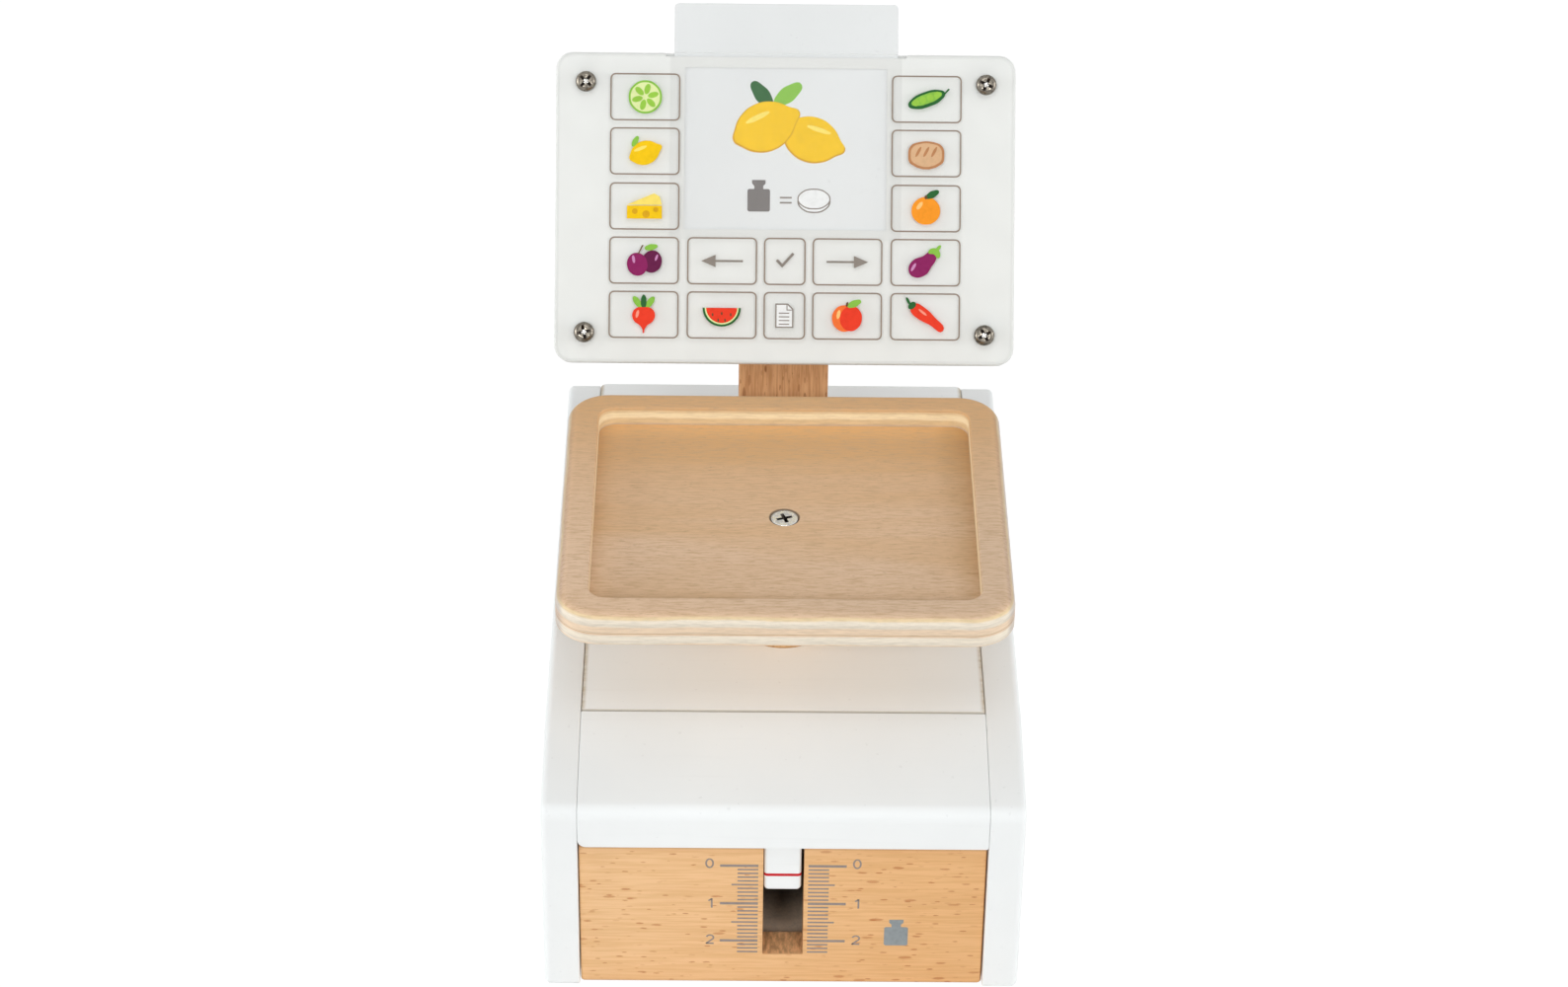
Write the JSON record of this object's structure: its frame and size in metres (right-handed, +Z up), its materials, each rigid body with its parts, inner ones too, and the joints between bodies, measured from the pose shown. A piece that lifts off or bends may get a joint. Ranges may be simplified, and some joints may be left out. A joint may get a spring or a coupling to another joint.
{
  "type": "toy shop weighing scale",
  "caption": "Wooden toy shop scale with a sprung weighing tray, a pointer sliding in the front slot, and a leaning key display that holds a pull-out picture card.",
  "frame": {"origin": "middle of the case's underside, on the table", "axes": "+X to the viewer's right, +Y to the back of the scale, +Z up"},
  "size_m": [0.163, 0.248, 0.2454],
  "materials": {
    "white_paint": "white lacquer on wood fibre board, satin",
    "beech": "smooth oiled beech with short dark flecks",
    "plywood": "birch plywood, light stripes on the edges",
    "plain_wood": "plain sanded hardwood",
    "screw_steel": "nickel plated steel",
    "dark_nickel": "dark nickel plated steel",
    "white_board": "white laminated board with printed keys",
    "clear_plate": "clear acrylic sheet",
    "card_stock": "smooth white printed board"
  },
  "bodies": {
    "case": {"side_panel_left": "white_paint", "side_panel_right": "white_paint", "front_panel": "beech", "front_cover": "white_paint", "top_plate": "white_paint", "back_panel": "white_paint", "base_board": "white_paint", "base_cleat_left": "plain_wood", "base_cleat_right": "plain_wood", "base_screws": "screw_steel", "case_dowels": "plain_wood", "spring_guide": "plain_wood", "weighing_spring": "screw_steel", "display_post": "beech", "post_foot_screws": "screw_steel", "display_board": "white_board", "post_head_screws": "screw_steel", "display_plate": "clear_plate", "display_screws": "dark_nickel"},
    "weighing": {"weighing_column": "beech", "stop_collar": "plywood", "pointer_arm": "plywood", "pointer": "white_paint", "pointer_dowel": "plain_wood", "tray_base": "plywood", "tray_frame": "plywood", "tray_screw": "screw_steel"},
    "card": {"display_card": "card_stock"}
  },
  "joints": [
    {"name": "tray_slide", "type": "slide", "parent": "case", "child": "weighing", "axis": [0, 0, 1], "range_m": [-0.027, 0.0035], "stiffness_N_per_m": 605, "springref_m": 0.00194, "deforming": ["weighing_spring"]},
    {"name": "card_lift", "type": "slide", "parent": "case", "child": "card", "axis": [0, 0.5592, 0.829], "range_m": [0, 0.07]}
  ]
}
